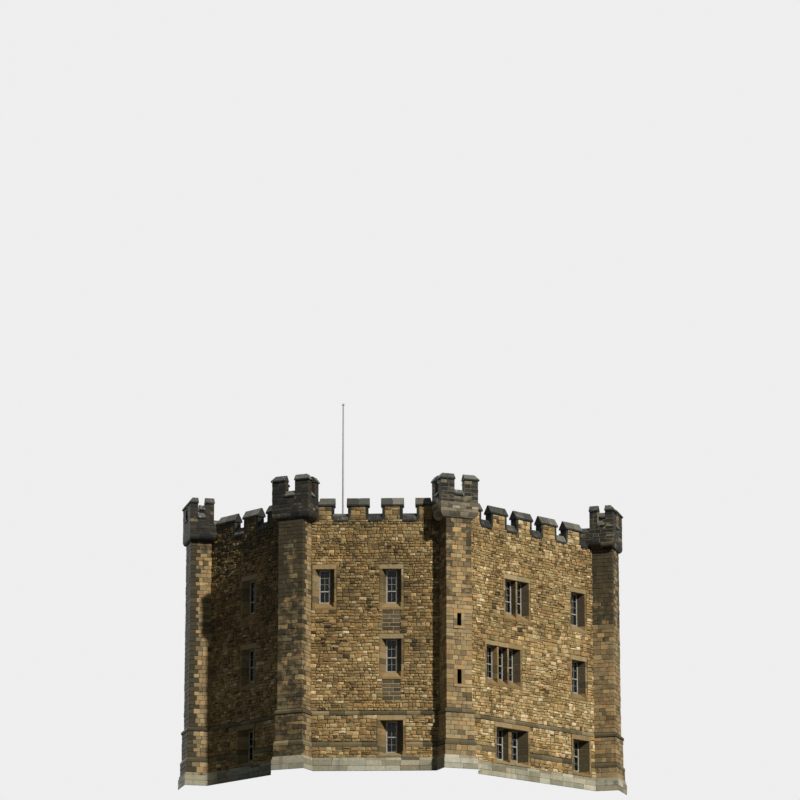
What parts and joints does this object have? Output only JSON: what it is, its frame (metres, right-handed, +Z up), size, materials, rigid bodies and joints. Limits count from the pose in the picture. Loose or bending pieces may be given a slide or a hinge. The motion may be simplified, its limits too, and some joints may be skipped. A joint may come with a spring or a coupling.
{
  "type": "castle keep",
  "caption": "Eight-sided stone castle keep with corner buttresses, corbelled turrets, crenellated parapets, sash windows and a flagpole.",
  "frame": {"origin": "the middle of the plan on the ground under the keep", "axes": "+Z up, -Y out of the front face, +X to the right as seen from the front"},
  "size_m": [25.0134, 20.1684, 20.9],
  "materials": {
    "rubble_stone": "coursed sandstone rubble, golden brown, weathered and rough",
    "buttress_stone": "squared sandstone blocks with grey weather stains, rough",
    "turret_stone": "squared sandstone blackened by weather, rough",
    "coping_stone": "dark weathered sandstone with pale lichen spots, rough",
    "course_stone": "dark weathered moulded sandstone, rough",
    "pale_ashlar": "pale grey squared ashlar, smooth sawn",
    "dressed_stone": "dressed sandstone, buff, smooth with worn edges",
    "window_paint": "white gloss paint on timber",
    "glass": "clear old window glass",
    "floor_paving": "worn stone flags",
    "floor_boards": "oiled wide floor boards",
    "roof_paving": "grey stone roof paving",
    "pole_paint": "white gloss paint on a tapered timber pole"
  },
  "bodies": {
    "root": {"front_wall": "rubble_stone", "right_wall": "rubble_stone", "right_side_wall": "rubble_stone", "back_right_wall": "rubble_stone", "back_wall": "rubble_stone", "back_left_wall": "rubble_stone", "left_side_wall": "rubble_stone", "left_wall": "rubble_stone", "front_parapet": "rubble_stone", "right_parapet": "rubble_stone", "right_side_parapet": "rubble_stone", "back_right_parapet": "rubble_stone", "back_parapet": "rubble_stone", "back_left_parapet": "rubble_stone", "left_side_parapet": "rubble_stone", "left_parapet": "rubble_stone", "front_left_buttress": "buttress_stone", "front_right_buttress": "buttress_stone", "right_buttress": "buttress_stone", "far_right_buttress": "buttress_stone", "back_right_buttress": "buttress_stone", "back_left_buttress": "buttress_stone", "far_left_buttress": "buttress_stone", "left_buttress": "buttress_stone", "front_left_turret": "turret_stone", "front_right_turret": "turret_stone", "right_turret": "turret_stone", "far_right_turret": "turret_stone", "back_right_turret": "turret_stone", "back_left_turret": "turret_stone", "far_left_turret": "turret_stone", "left_turret": "turret_stone", "turret_corbels": "turret_stone", "turret_copings": "coping_stone", "parapet_copings": "coping_stone", "projecting_courses": "course_stone", "base_plinth": "pale_ashlar", "window_surrounds": "dressed_stone", "window_sashes": "window_paint", "window_glass": "glass", "ground_floor": "floor_paving", "first_floor": "floor_boards", "second_floor": "floor_boards", "roof_deck": "roof_paving", "flagpole": "pole_paint"}
  },
  "joints": []
}
